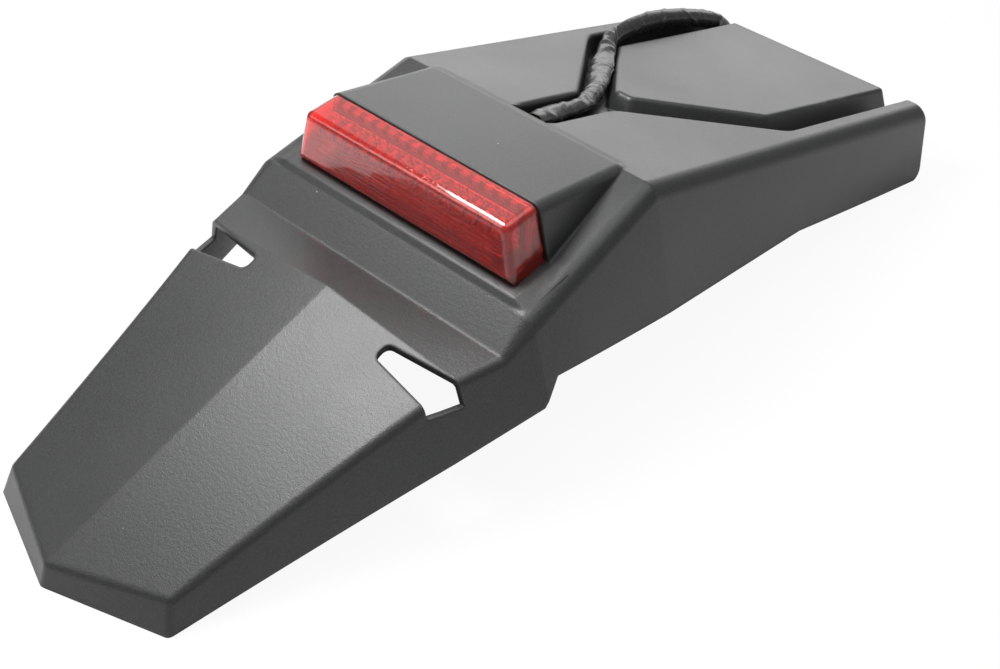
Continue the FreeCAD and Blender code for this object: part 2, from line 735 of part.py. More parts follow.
foot = extrude("housing_foot_plate", outline("housing_foot_profile", "side", [
    (flange_far, strip_height(flange_far)),
    (foot_far, strip_height(foot_far)),
    (foot_far, strip_height(foot_far) + " + dims.housing_foot"),
    (flange_far, strip_height(flange_far) + " + dims.housing_foot"),
]), "2 * (dims.boss_half + 2 * dims.boss_radius)", True)
solids = [plug, flange, foot]
bores = []
board_far = f"({plug_near} - dims.standoff_gap)"
board_front = f"({board_far} - dims.board_thick)"
comb_near = f"({board_front} - dims.fit / 2 - dims.cell_wall)"
pin_height = "(dims.board_bottom + dims.standoff_half + dims.fit)"


def peg(name, side, half, near, far):
    # square peg that stands towards the rear, centred on a pin of the housing
    return block(name, (f"2 * {half}", f"{far} - {near}", f"2 * {half}"),
                 (f"{side}dims.pin_place - {half}", f"{near} + {DATUM}", f"{pin_height} - {half}"))


for side, sign in sides:
    solids.append(floor_rod(f"boss_{side}", sign, "dims.boss_radius", "0", "dims.boss_height"))
    bore = floor_rod(f"boss_bore_{side}", sign, "dims.screw_radius", "-dims.wall", "dims.screw_length")
    bores.append(bore)
    inside = f"({plug_near} + dims.fit)"
    crown = f"({comb_near} - dims.fit / 2 - dims.pin_head)"
    solids.append(peg(f"standoff_{side}", sign, "dims.standoff_half", board_far, inside))
    solids.append(peg(f"pin_{side}", sign, "dims.pin_half", crown, inside))
    solids.append(peg(f"pin_head_{side}", sign, "dims.standoff_half", crown, f"({crown} + dims.pin_head)"))
housing = cut("housing", combine("Fuse", "housing_solid", solids), combine("Fuse", "housing_bores", bores))
pieces.append(finished("lamp_housing", housing))


# Board of the lamp with its row of diodes
def behind_lens(name, half, low, high, near, far):
    # upright plate across the lamp between two distances ahead
    return block(name, (f"2 * {half}", f"{far} - {near}", f"{high} - {low}"),
                 (f"-{half}", f"{near} + {DATUM}", low))


loose_pin = "(dims.pin_half + dims.fit / 2)"
pin_holes = combine("Fuse", "pin_holes", [
    peg(f"pin_hole_{side}", sign, loose_pin, "0", "dims.lens_depth") for side, sign in sides
])
board_plate = behind_lens("board_plate", "dims.board_half", "dims.board_bottom", "dims.board_top",
                          board_front, board_far)
pieces.append(finished("led_board", cut("board", board_plate, pin_holes)))

leds = []
windows = [pin_holes]
window_half = "(dims.led_radius + dims.fit)"
for number in range(int(size("led_count"))):
    across = f"({number} - (dims.led_count - 1) / 2) * dims.led_pitch"
    led = doc.addObject("Part::Prism", f"led_{number}")
    led.Polygon = int(size("led_sides"))
    led.setExpression("Circumradius", "dims.led_radius")
    led.setExpression("Height", "dims.led_length")
    led.Placement = FreeCAD.Placement(V(), FreeCAD.Rotation(V(1, 0, 0), 90))
    for letter, formula in zip("xyz", (across, f"{board_front} + {DATUM}", "dims.led_height")):
        led.setExpression(f".Placement.Base.{letter}", formula)
    leds.append(led)
    wide = f"2 * {window_half}"
    windows.append(block(f"led_window_{number}", (wide, "dims.lens_depth", wide),
                         (f"{across} - {window_half}", DATUM, f"dims.led_height - {window_half}")))
row_of_leds = doc.addObject("Part::Compound", "row_of_leds")
row_of_leds.Links = leds
pieces.append(finished("leds", row_of_leds))

# Reflector comb: back plate with a window for each diode, shelf below and partitions between
comb_far = f"({comb_near} + dims.cell_wall)"
cell_near = f"({comb_far} - dims.cell_depth)"
comb_half = "((dims.led_count * dims.led_pitch + dims.cell_wall) / 2)"
comb_back = behind_lens("comb_back", "dims.board_half", "dims.board_bottom", "dims.cell_top",
                        comb_near, comb_far)
comb = [
    cut("comb_plate", comb_back, combine("Fuse", "windows", windows)),
    behind_lens("comb_shelf", comb_half, "dims.cell_shelf", "(dims.cell_shelf + dims.cell_wall)",
                cell_near, comb_far),
]
for number in range(int(size("led_count")) + 1):
    across = f"({number} - dims.led_count / 2) * dims.led_pitch - dims.cell_wall / 2"
    spans = ("dims.cell_wall", "dims.cell_depth", "dims.cell_top - dims.cell_shelf")
    comb.append(block(f"comb_wall_{number}", spans, (across, f"{cell_near} + {DATUM}", "dims.cell_shelf")))
pieces.append(finished("reflector", combine("Fuse", "comb", comb)))

# Two screws that hold the lamp, driven from below through its floor
screws = []
under = "(dims.wall_slant * dims.wall * cos(atan(dims.strip_slope)))"
for side, sign in sides:
    shank_length = f"dims.screw_length - {under}"
    shank = floor_rod(f"screw_shank_{side}", sign, "dims.screw_radius", f"-{under}", shank_length)
    seat_under = f"-{under} - dims.head_height"
    head = floor_rod(f"screw_head_{side}", sign, "dims.head_radius", seat_under, "dims.head_height")
    place = on_floor(sign, f"-{under} - 1.5 * dims.head_height")
    slots = []
    for arm, spans in (("long", ("dims.slot_length", "dims.slot_width")),
                       ("wide", ("dims.slot_width", "dims.slot_length"))):
        slot = block(f"screw_slot_{arm}_{side}", (*spans, "dims.head_height"), (
            f"{place[0]} - {spans[0]} / 2",
            f"{place[1]} - {spans[1]} / 2 * cos(atan(dims.strip_slope))",
            f"{place[2]} - {spans[1]} / 2 * sin(atan(dims.strip_slope))",
        ))
        slot.Placement.Rotation = FreeCAD.Rotation(V(1, 0, 0), 10)
        slot.setExpression(".Placement.Rotation.Angle", "atan(dims.strip_slope)")
        slots.append(slot)
    whole = combine("Fuse", f"screw_solid_{side}", [shank, head])
    screws.append(cut(f"screw_{side}", whole, combine("Fuse", f"screw_cross_{side}", slots)))
pair_of_screws = doc.addObject("Part::Compound", "pair_of_screws")
pair_of_screws.Links = screws
pieces.append(finished("lamp_screws", pair_of_screws))

# Three wires from the lamp housing through the port to the mouth of the sleeve
wire_end = "(dims.apex_ahead + dims.sleeve_mouth - dims.wire_short)"
wire_span = f"({wire_end} - {flange_far})"
for colour, place in (("yellow", "-dims.wire_spread"), ("black", "0"), ("red", "dims.wire_spread")):
    wire = rod(f"wire_run_{colour}", "dims.wire_radius", wire_span,
               (place, f"{wire_end} + {DATUM}", "dims.wire_height"), "90 deg")
    pieces.append(finished(f"wire_{colour}", wire))

# Sleeve of the lead: along the channel, over the left valley, past the front edge to the table.
# On the deck a point is given by its place across, its share of the way from the ridge to the
# front edge and its height over the deck; past the front edge by the way ahead of that edge and
# the share of its height.
deck_route = [
    (0, 0.0349, -2.9),
    (-2.6, 0.1297, -3.2),
    (-3.4, 0.2164, -3.4),
    (-24.2, 0.3761, -4.3),
    (-46.6, 0.5147, -3),
    (-51.8, 0.5686, 0.4),
    (-54.2, 0.6334, 2.7),
    (-55.9, 0.7631, 4.7),
    (-54.7, 0.9127, 1.5),
    (-53.9, 0.9905, -2.2),
]
hanging_route = [
    (-53.5, 6.5, 0.679),
    (-53.3, 10.9, 0.39),
]


def route_wire(corners):
    # straight runs joined by tangent arcs, each as wide as the shorter of its two runs allows
    share = 0.45
    edges = []
    radii = []
    start = corners[0]
    for before, corner, after in zip(corners, corners[1:], corners[2:]):
        come = (corner - before).normalize()
        leave = (after - corner).normalize()
        trim = share * min(corner.distanceToPoint(before), corner.distanceToPoint(after))
        half_turn = come.getAngle(leave) / 2
        radius = trim / math.tan(half_turn)
        into = corner - come * trim
        out = corner + leave * trim
        bisector = (leave - come).normalize()
        middle = corner + bisector * (radius / math.cos(half_turn) - radius)
        edges.append(Part.LineSegment(start, into).toShape())
        edges.append(Part.Arc(into, middle, out).toShape())
        radii.append(radius)
        start = out
    edges.append(Part.LineSegment(start, corners[-1]).toShape())
    return Part.Wire(edges), radii


shift = (size("tail_length") - size("deck_length")) / 2
corners = []
for across, share, over in deck_route:
    run = share * (size("deck_length") - size("apex_ahead"))
    level = size("apex_height") - size("deck_slope") * run
    corners.append(V(across, size("apex_ahead") + run + shift, level + over))
for across, ahead, share in hanging_route:
    corners.append(V(across, size("deck_length") + ahead + shift, share * size("front_height")))
path, radii = route_wire(corners)
sleeve_radius = size("sleeve_diameter") / 2
sleeve_sides = int(size("sleeve_sides"))
start_turn = FreeCAD.Rotation(V(0, 0, 1), corners[1] - corners[0])
ring_points = []
for number in range(sleeve_sides + 1):
    turn = math.tau * number / sleeve_sides
    spoke = V(math.cos(turn), math.sin(turn), 0) * sleeve_radius
    ring_points.append(corners[0] + start_turn.multVec(spoke))
ring = Part.makePolygon(ring_points)
sleeve = doc.addObject("Part::Feature", "sleeve_tube")
sleeve.Shape = path.makePipeShell([ring], True, True)
pieces.append(finished("cable_sleeve", sleeve))
section = sleeve_sides / 2 * sleeve_radius ** 2 * math.sin(math.tau / sleeve_sides)
expected = section * path.Length
print("sleeve length", round(path.Length, 1), "radii", [round(radius) for radius in radii])
print("sleeve volume over section times length", round(sleeve.Shape.Volume / expected, 4))

# Connector at the end of the lead
down = (corners[-1] - corners[-2]).normalize()
plug_box = Part.makeBox(size("plug_width"), size("plug_depth"), size("plug_length"),
                        V(-size("plug_width") / 2, -size("plug_depth") / 2, 0))
long_edges = [edge for edge in plug_box.Edges if abs(edge.tangentAt(0).z) > 0.9]
connector = doc.addObject("Part::Feature", "connector_body")
connector.Shape = plug_box.makeFillet(size("plug_round"), long_edges)
connector.Placement = FreeCAD.Placement(corners[-1], FreeCAD.Rotation(V(0, 0, 1), down))
pieces.append(finished("lead_connector", connector))

doc.recompute()
for thing in doc.Objects:
    if "Invalid" in thing.State or "Error" in thing.State:
        raise RuntimeError(f"{thing.Name} did not build: {thing.State}")

os.makedirs("parts", exist_ok=True)
for label, piece in pieces:
    shape = piece.Shape
    if shape.isNull() or not shape.isValid() or shape.Volume <= 0:
        raise RuntimeError(f"{label} is not a sound solid")
    shape.exportStep(f"parts/{label}.step")
    print(label, len(shape.Solids), round(shape.Volume))
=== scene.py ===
import math

import bmesh
import bpy
from mathutils import Matrix, Vector, noise


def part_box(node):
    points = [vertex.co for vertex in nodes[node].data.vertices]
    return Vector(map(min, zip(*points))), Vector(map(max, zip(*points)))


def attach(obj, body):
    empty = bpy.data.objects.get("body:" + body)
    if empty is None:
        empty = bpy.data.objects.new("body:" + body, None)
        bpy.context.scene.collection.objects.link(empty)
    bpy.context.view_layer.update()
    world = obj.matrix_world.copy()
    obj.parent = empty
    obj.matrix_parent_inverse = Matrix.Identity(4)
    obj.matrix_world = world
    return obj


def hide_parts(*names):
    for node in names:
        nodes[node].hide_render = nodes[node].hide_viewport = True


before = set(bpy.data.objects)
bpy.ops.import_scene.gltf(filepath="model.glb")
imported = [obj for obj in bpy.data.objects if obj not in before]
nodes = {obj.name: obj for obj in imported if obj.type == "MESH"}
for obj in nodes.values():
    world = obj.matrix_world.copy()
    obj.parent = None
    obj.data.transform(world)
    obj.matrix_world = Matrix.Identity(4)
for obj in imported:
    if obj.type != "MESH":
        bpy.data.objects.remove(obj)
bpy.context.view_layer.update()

scene = bpy.context.scene
print("fender frame loaded:", len(nodes), "nodes")

# camera: same eye point and lens as the photograph
cameraView = {
    "place": (0.42974, -0.41817, 0.4758),
    "azimuth": 44.962,
    "elevation": 39.059,
    "lens": 63.18,
    "sensor": 36,
    "clipStart": 0.01,
}


def addCamera(values):
    data = bpy.data.cameras.new("photoCamera")
    data.sensor_fit = "HORIZONTAL"
    data.sensor_width = values["sensor"]
    data.lens = values["lens"]
    data.clip_start = values["clipStart"]
    camera = bpy.data.objects.new("photoCamera", data)
    scene.collection.objects.link(camera)
    camera.location = values["place"]
    tilt = math.radians(90 - values["elevation"])
    camera.rotation_euler = (tilt, 0, math.radians(values["azimuth"]))
    scene.camera = camera


addCamera(cameraView)
print("camera set")


# small mesh helpers
def addObject(name, mesh, material=None):
    thing = bpy.data.objects.new(name, mesh)
    scene.collection.objects.link(thing)
    if material:
        mesh.materials.append(material)
    return thing


def smoothFaces(mesh):
    for face in mesh.polygons:
        face.use_smooth = True


def meshFrom(name, points, faces):
    mesh = bpy.data.meshes.new(name)
    mesh.from_pydata(points, [], faces)
    mesh.update()
    return mesh


def framesAlong(path):
    # a turning frame carried along the line without twist
    ahead = path[1:] + path[-1:]
    behind = path[:1] + path[:-1]
    heads = [(late - early).normalized() for late, early in zip(ahead, behind)]
    side = heads[0].orthogonal().normalized()
    frames = []
    for i in range(len(path)):
        if i:
            side = heads[i - 1].rotation_difference(heads[i]) @ side
        frames.append((path[i], heads[i], side, heads[i].cross(side)))
    return frames


def tubeMesh(name, rings, capStart=True, capEnd=True):
    # skin over rings of equal count, closed at the ends that ask for it
    around = len(rings[0])
    points = [point for ring in rings for point in ring]
    faces = []
    for i in range(len(rings) - 1):
        for j in range(around):
            k = (j + 1) % around
            low, high = i * around, (i + 1) * around
            faces.append((low + j, low + k, high + k, high + j))
    if capStart:
        faces.append(tuple(reversed(range(around))))
    if capEnd:
        faces.append(tuple(range((len(rings) - 1) * around, len(rings) * around)))
    return meshFrom(name, points, faces)


def ringAt(place, side, up, radius, around):
    turns = [math.tau * j / around for j in range(around)]
    return [place + side * (math.cos(t) * radius) + up * (math.sin(t) * radius) for t in turns]


# lead: flat vinyl sleeve over three wires
lead = {
    "route": [
        (0, 0.032, 0.0859), (-0.0026, 0.051, 0.0805), (-0.0032, 0.069, 0.0757),
        (-0.0242, 0.1004, 0.0665), (-0.0466, 0.1282, 0.0604), (-0.0518, 0.139, 0.061),
        (-0.0542, 0.152, 0.0598), (-0.0559, 0.178, 0.055), (-0.0547, 0.208, 0.0438),
        (-0.0539, 0.2236, 0.036), (-0.0535, 0.232, 0.0256), (-0.0533, 0.2364, 0.0147),
    ],
    "diameter": 0.0084,
    "length": 0.2389,
    "steps": 38,        # points of the line between two points of the route
    "around": 64,
    "wall": 0.0005,
    "mouthDepth": 0.007,
    "edge": 0.3,        # how sharp the two folded edges are
    "lie": [
        # way along the lead, half width, half height, lean of the flat side
        (0, 0.0048, 0.0027, 6), (0.014, 0.0051, 0.0028, -12), (0.033, 0.0049, 0.0031, 14),
        (0.047, 0.004, 0.0034, -20), (0.058, 0.0043, 0.0032, 0), (0.078, 0.0052, 0.0028, 4),
        (0.095, 0.0056, 0.0027, 8), (0.112, 0.0048, 0.0032, 28), (0.122, 0.0041, 0.0037, 72),
        (0.132, 0.0046, 0.0035, 98), (0.15, 0.0044, 0.0037, 110), (0.24, 0.0042, 0.004, 122),
    ],
    "folds": [
        # way along the lead, slant, turn it slants to, height as a share of the radius
        (0.007, 0.002, 40, 0.1), (0.019, 0.005, 150, 0.13), (0.029, 0.003, 60, 0.12),
        (0.041, 0.004, 210, 0.16), (0.0465, 0.002, 20, 0.11), (0.0525, 0.003, 330, 0.11),
        (0.059, 0.004, 20, 0.12), (0.072, 0.006, 120, 0.1), (0.086, 0.003, 80, 0.12),
        (0.101, 0.007, 40, 0.14), (0.113, 0.004, 120, 0.18), (0.119, 0.005, 60, 0.2),
        (0.127, 0.006, 100, 0.14), (0.148, 0.008, 30, 0.09), (0.168, 0.006, 80, 0.1),
        (0.19, 0.008, 140, 0.08), (0.214, 0.004, 60, 0.1),
    ],
    "foldWidth": 0.0027,
    "wander": 0.0016,   # how far a fold strays from a plain slant
    "wanderScale": 300,
    "dents": 0.12,      # share of the radius between the folds
    "dentLength": 0.02,
    "dentWidth": 0.0062,
    "dentRim": 1.5,
    "drift": (0.8, 0.5, 0, 17.3, 41.9),  # warp of the dents: scale, size, shift for x, y and z
    "smoothAfter": 0.125,
    "calm": 0.45,       # share of the dents left after that
    "swell": 0.02,
    "ripple": (2, 420, 0.014),  # around, along, height
}


def splinePoints(name, route, steps):
    curve = bpy.data.curves.new(name, "CURVE")
    curve.dimensions = "3D"
    spline = curve.splines.new("NURBS")
    spline.points.add(len(route) - 1)
    for point, place in zip(spline.points, route):
        point.co = (*place, 1)
    spline.order_u = 3
    spline.use_endpoint_u = True
    spline.resolution_u = steps
    holder = bpy.data.objects.new(name, curve)
    scene.collection.objects.link(holder)
    bpy.context.view_layer.update()
    line = bpy.data.meshes.new_from_object(holder)
    points = [vertex.co.copy() for vertex in line.vertices]
    bpy.data.objects.remove(holder)
    bpy.data.curves.remove(curve)
    bpy.data.meshes.remove(line)
    return points


def lieAt(way, keys):
    # half width, half height and lean between the two keys around this way
    for (start, *first), (stop, *second) in zip(keys, keys[1:]):
        if way <= stop:
            share = (way - start) / (stop - start)
            share *= share * (3 - 2 * share)
            return [one + (other - one) * share for one, other in zip(first, second)]
    return keys[-1][1:]


def sleeveCrumple(way, turn, values):
    # shallow dents, and sharp folds that cross the lead
    across, up = math.cos(turn), math.sin(turn)
    reach = values["diameter"] / 2 / values["dentWidth"]
    spot = Vector((across * reach, up * reach, way / values["dentLength"]))
    warp, warpSize, *shifts = values["drift"]
    shifts = [Vector((0, 0, shift)) for shift in shifts]
    spot += Vector([noise.noise(spot * warp + shift) for shift in shifts]) * warpSize
    near = noise.voronoi(spot)[0]
    calm = 1 if way < values["smoothAfter"] else values["calm"]
    dent = min(1, (near[1] - near[0]) * values["dentRim"])
    crumple = values["swell"] - calm * values["dents"] * dent
    for middle, slant, toward, height in values["folds"]:
        stray = noise.noise(Vector((across, up, middle * values["wanderScale"]))) * values["wander"]
        off = abs(way - middle - slant * math.cos(turn - math.radians(toward)) - stray)
        crumple += height * max(0, 1 - off / values["foldWidth"])
    around, along, size = values["ripple"]
    return crumple + noise.noise(Vector((across * around, up * around, way * along))) * size


def sleeveRing(place, head, way, values, thinner=0):
    width, height, lean = lieAt(way, values["lie"])
    side = head.cross(Vector((0, 0, 1))).normalized()
    up = side.cross(head)
    lean = math.radians(lean)
    flatSide = side * math.cos(lean) + up * math.sin(lean)
    flatUp = up * math.cos(lean) - side * math.sin(lean)
    ring = []
    for j in range(values["around"]):
        turn = math.tau * j / values["around"]
        over = math.sin(turn) * abs(math.sin(turn)) ** values["edge"]
        out = flatSide * (math.cos(turn) * (width - thinner)) + flatUp * (over * (height - thinner))
        ring.append(place + out * (1 + sleeveCrumple(way, turn, values)))
    return ring


def sleeveMesh(path, values):
    rings = []
    way = 0
    stations = [station[:2] for station in framesAlong(path)]
    for i, (place, head) in enumerate(stations):
        if i:
            way += (path[i] - path[i - 1]).length
        rings.append(sleeveRing(place, head, way, values))
    place, head = stations[0]
    for depth in (0, values["mouthDepth"]):  # the mouth is open, with a thin wall
        rings.insert(0, sleeveRing(place + head * depth, head, 0, values, values["wall"]))
    return tubeMesh("leadSleeve", rings)


# connector: three-way housing with a latch, ribs and a collar round the lead
connector = {
    "along": 0.014,
    "across": 0.0094,
    "deep": 0.0074,
    "collar": 0.0034,
    "collarShare": 0.8,  # the collar's size as a share of the body's
    "wall": 0.0009,
    "sideWall": 0.00108,
    "mouth": 0.0046,     # depth of the open mating end
    "sockets": 3,
    "socketSize": 0.0018,
    "latch": (0.0034, 0.0075, 0.0008),  # wide, long, thick
    "latchSunk": 0.4,    # share of its thickness in the wall
    "latchProud": 0.35,  # share of its thickness above the wall
    "latchBack": 0.55,   # share of its length behind the mouth
    "ribs": 4,
    "ribProud": 0.00018,
    "ribHalf": 0.00027,
    "ribShare": 0.7,     # a rib's depth as a share of the body's
    "bevel": 0.00025,
}


def blockMesh(low, high, bevel):
    shape = bmesh.new()
    bmesh.ops.create_cube(shape, size=1)
    for vertex in shape.verts:
        vertex.co = Vector([a + (c + 0.5) * (b - a) for a, b, c in zip(low, high, vertex.co)])
    edges = shape.edges[:]
    bmesh.ops.bevel(shape, geom=edges, offset=bevel, segments=2, affect="EDGES", profile=0.5)
    mesh = bpy.data.meshes.new("block")
    shape.to_mesh(mesh)
    shape.free()
    return mesh


def joinMeshes(name, parts, smooth=True):
    shape = bmesh.new()
    for part in parts:
        shape.from_mesh(part)
        bpy.data.meshes.remove(part)
    bmesh.ops.remove_doubles(shape, verts=shape.verts, dist=1e-7)
    mesh = bpy.data.meshes.new(name)
    shape.to_mesh(mesh)
    shape.free()
    if smooth:
        smoothFaces(mesh)
    return mesh


def connectorMesh(values):
    # drawn along z from the lead's side to the mating end, x across, y through
    half = values["across"] / 2
    deep = values["deep"] / 2
    wall = values["wall"]
    side = values["sideWall"]
    collar = values["collar"]
    share = values["collarShare"]
    end = values["along"]
    rim = end - values["mouth"]
    blocks = [
        ((-half * share, -deep * share, 0), (half * share, deep * share, collar + wall)),
        ((-half + wall, -deep + wall, collar), (half - wall, deep - wall, rim)),
        ((-half, -deep, collar), (-half + side, deep, end)),
        ((half - side, -deep, collar), (half, deep, end)),
        ((-half + wall, -deep, collar), (half - wall, -deep + side, end)),
        ((-half + wall, deep - side, collar), (half - wall, deep, end)),
    ]
    pitch = (values["across"] - 2 * wall) / values["sockets"]
    size = values["socketSize"] / 2
    for number in range(values["sockets"]):
        middle = (number - (values["sockets"] - 1) / 2) * pitch
        blocks.append(((middle - size, -size, rim - wall), (middle + size, size, end - wall)))
    wide, long, thick = values["latch"]
    back = rim - long * values["latchBack"]
    below = deep - thick * values["latchSunk"]
    above = deep + thick * values["latchProud"]
    blocks.append(((-wide / 2, below, back), (wide / 2, above, back + long)))
    broad = half + values["ribProud"]
    tall = deep * values["ribShare"]
    rise = values["ribHalf"]
    for number in range(values["ribs"]):
        level = collar + (number + 1) * (rim - collar) / (values["ribs"] + 1)
        blocks.append(((-broad, -tall, level - rise), (broad, tall, level + rise)))
    parts = [blockMesh(low, high, values["bevel"]) for low, high in blocks]
    return joinMeshes("leadConnector", parts, smooth=False)


def placeConnector(values, path):
    low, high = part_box("lead_connector")
    middle = (Vector(low) + Vector(high)) / 2
    head = (path[-1] - path[-2]).normalized()
    across = Vector((1, 0, 0))
    across = (across - head * across.dot(head)).normalized()
    through = head.cross(across)
    turn = Matrix((across, through, head)).transposed().to_4x4()
    mesh = connectorMesh(values)
    mesh.transform(Matrix.Translation(middle - head * values["along"] / 2) @ turn)
    piece = addObject("leadConnector", mesh)
    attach(piece, "root")
    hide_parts("lead_connector")
    return piece


leadPath = splinePoints("leadRoute", lead["route"], lead["steps"])
leadConnector = placeConnector(connector, leadPath)
leadSleeve = addObject("leadSleeve", sleeveMesh(leadPath, lead))
smoothFaces(leadSleeve.data)
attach(leadSleeve, "root")
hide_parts("cable_sleeve")
print("lead laid:", len(leadPath), "points")

# light: pale floor and world, and five soft boxes
light = {
    "world": 0.37,
    "floorGrey": 0.8,
    "floorGlow": 0.93,  # share of plain white in what the camera sees of the floor
    "floorRough": 0.9,
    "floorHalf": 6,
    "floorLevel": -0.0001,
    "boxes": [
        # name, place, target, width, height, watts
        ("tailBox", (-0.17, -0.1, 0.5), (0.03, -0.12, 0.05), 0.19, 0.19, 3.3),
        ("slopeBox", (-0.55, -0.66, 0.62), (0, -0.05, 0.065), 0.35, 0.35, 1.2),
        ("frontBox", (-0.66, 0.555, 0.834), (0, -0.05, 0.08), 0.7, 0.5, 0.9),
        ("backBox", (-1.7, 2.1, 0.62), (0, 0.05, 0.06), 3.2, 1.1, 26),
        ("topBox", (0.1, 0.3, 1.7), (0, 0, 0), 1.3, 1.3, 9),
    ],
}


def addLights(values):
    world = bpy.data.worlds.new("studioWorld")
    world.use_nodes = True
    sky = world.node_tree.nodes["Background"]
    sky.inputs["Color"].default_value = (1, 1, 1, 1)
    sky.inputs["Strength"].default_value = values["world"]
    scene.world = world
    for name, place, target, width, height, watts in values["boxes"]:
        data = bpy.data.lights.new(name, "AREA")
        data.shape = "RECTANGLE"
        data.size = width
        data.size_y = height
        data.energy = watts
        lamp = bpy.data.objects.new(name, data)
        scene.collection.objects.link(lamp)
        lamp.location = place
        aim = Vector(target) - Vector(place)
        lamp.rotation_euler = aim.to_track_quat("-Z", "Y").to_euler()


def floorPaint(values):
    # grey to the light, nearly white to the camera
    paint = bpy.data.materials.new("floorPaint")
    paint.use_nodes = True
    tree = paint.node_tree
    shader = tree.nodes["Principled BSDF"]
    grey = values["floorGrey"]
    shader.inputs["Base Color"].default_value = (grey, grey, grey, 1)
    shader.inputs["Roughness"].default_value = values["floorRough"]
    seen = tree.nodes.new("ShaderNodeLightPath").outputs["Is Camera Ray"]
    share = tree.nodes.new("ShaderNodeMath")
    share.operation = "MULTIPLY"
    share.inputs[1].default_value = values["floorGlow"]
    glow = tree.nodes.new("ShaderNodeEmission")
    mix = tree.nodes.new("ShaderNodeMixShader")
    tree.links.new(seen, share.inputs[0])
    tree.links.new(share.outputs[0], mix.inputs["Fac"])
    tree.links.new(shader.outputs["BSDF"], mix.inputs[1])
    tree.links.new(glow.outputs["Emission"], mix.inputs[2])
    tree.links.new(mix.outputs["Shader"], tree.nodes["Material Output"].inputs["Surface"])
    return paint


def addFloor(values):
    half = values["floorHalf"]
    signs = ((-1, -1), (1, -1), (1, 1), (-1, 1))
    corners = [(x * half, y * half, values["floorLevel"]) for x, y in signs]
    floor = meshFrom("floor", corners, [(0, 1, 2, 3)])
    addObject("floor", floor, floorPaint(values))


addLights(light)
addFloor(light)
scene.view_settings.view_transform = "Standard"
print("lights set")


# shader building blocks
noiseSpan = (0.3, 0.7)  # most values of a noise texture lie between these


def newGroup(name, inputs, outputs):
    group = bpy.data.node_groups.new(name, "ShaderNodeTree")
    for label, kind, start in inputs:
        socket = group.interface.new_socket(label, in_out="INPUT", socket_type=kind)
        socket.default_value = start
    for label, kind in outputs:
        group.interface.new_socket(label, in_out="OUTPUT", socket_type=kind)
    return group, group.nodes.new("NodeGroupInput"), group.nodes.new("NodeGroupOutput")


def addNode(tree, kind, settings=None, inputs=None):
    node = tree.nodes.new(kind)
    for key, value in (settings or {}).items():
        setattr(node, key, value)
    for key, value in (inputs or {}).items():
        if isinstance(value, bpy.types.NodeSocket):
            tree.links.new(value, node.inputs[key])
        else:
            node.inputs[key].default_value = value
    return node


def noiseAt(tree, place, scale, detail=3, roughness=0.55):
    inputs = {"Vector": place, "Scale": scale, "Detail": detail, "Roughness": roughness}
    return addNode(tree, "ShaderNodeTexNoise", None, inputs).outputs["Fac"]


def mathNode(tree, operation, first, second=0.5):
    settings = {"operation": operation}
    return addNode(tree, "ShaderNodeMath", settings, {0: first, 1: second}).outputs[0]


def spread(tree, value, low, high, toLow=0, toHigh=1):
    inputs = {"Value": value, "From Min": low, "From Max": high, "To Min": toLow, "To Max": toHigh}
    return addNode(tree, "ShaderNodeMapRange", None, inputs).outputs["Result"]


def mixColour(tree, share, first, second):
    # for colours the share is input 0, the two colours are inputs 6 and 7
    node = addNode(tree, "ShaderNodeMix", {"data_type": "RGBA"})
    for key, value in ((0, share), (6, first), (7, second)):
        if isinstance(value, bpy.types.NodeSocket):
            tree.links.new(value, node.inputs[key])
        else:
            node.inputs[key].default_value = value
    return node.outputs[2]


grainShape = {
    "lumpScale": 0.37,   # lumps per pit
    "pitHeight": 0.7,
    "lumpHeight": 0.6,
    "marksPerMetre": 14,
}
edgeShape = {"samples": 6, "flat": 0.97, "turned": 0.75}
cornerShape = {"samples": 6, "closed": 0.45, "open": 0.8}
dustShape = {"outside": 0.028, "inside": 0.012, "bare": 0.8}  # bare: share of cells with no speck


def buildGrain(values):
    # spark-eroded mould grain: fine pits and soft lumps over broad handling marks
    group, start, end = newGroup(
        "mouldGrain",
        [("Place", "NodeSocketVector", (0, 0, 0)), ("Pits Per Metre", "NodeSocketFloat", 1500)],
        [("Height", "NodeSocketFloat"), ("Shade", "NodeSocketFloat"), ("Handling", "NodeSocketFloat")],
    )
    place = start.outputs["Place"]
    count = start.outputs["Pits Per Metre"]
    pits = noiseAt(group, place, count, 2, 0.6)
    lumps = noiseAt(group, place, mathNode(group, "MULTIPLY", count, values["lumpScale"]), 2, 0.5)
    pitHeight = mathNode(group, "MULTIPLY", pits, values["pitHeight"])
    lumpHeight = mathNode(group, "MULTIPLY", lumps, values["lumpHeight"])
    marks = noiseAt(group, place, values["marksPerMetre"], 4, 0.6)
    group.links.new(mathNode(group, "ADD", pitHeight, lumpHeight), end.inputs["Height"])
    group.links.new(spread(group, pits, *noiseSpan), end.inputs["Shade"])
    group.links.new(spread(group, marks, *noiseSpan), end.inputs["Handling"])
    return group


def buildEdges(values):
    # small moulded radius on every edge, and a mask where it turns
    group, start, end = newGroup(
        "mouldedEdges",
        [("Radius", "NodeSocketFloat", 0.001)],
        [("Normal", "NodeSocketVector"), ("Edge", "NodeSocketFloat")],
    )
    settings = {"samples": values["samples"]}
    bevel = addNode(group, "ShaderNodeBevel", settings, {"Radius": start.outputs["Radius"]})
    turned = bevel.outputs["Normal"]
    flat = addNode(group, "ShaderNodeNewGeometry").outputs["Normal"]
    dot = addNode(group, "ShaderNodeVectorMath", {"operation": "DOT_PRODUCT"}, {0: turned, 1: flat})
    edge = spread(group, dot.outputs["Value"], values["flat"], values["turned"])
    group.links.new(turned, end.inputs["Normal"])
    group.links.new(edge, end.inputs["Edge"])
    return group


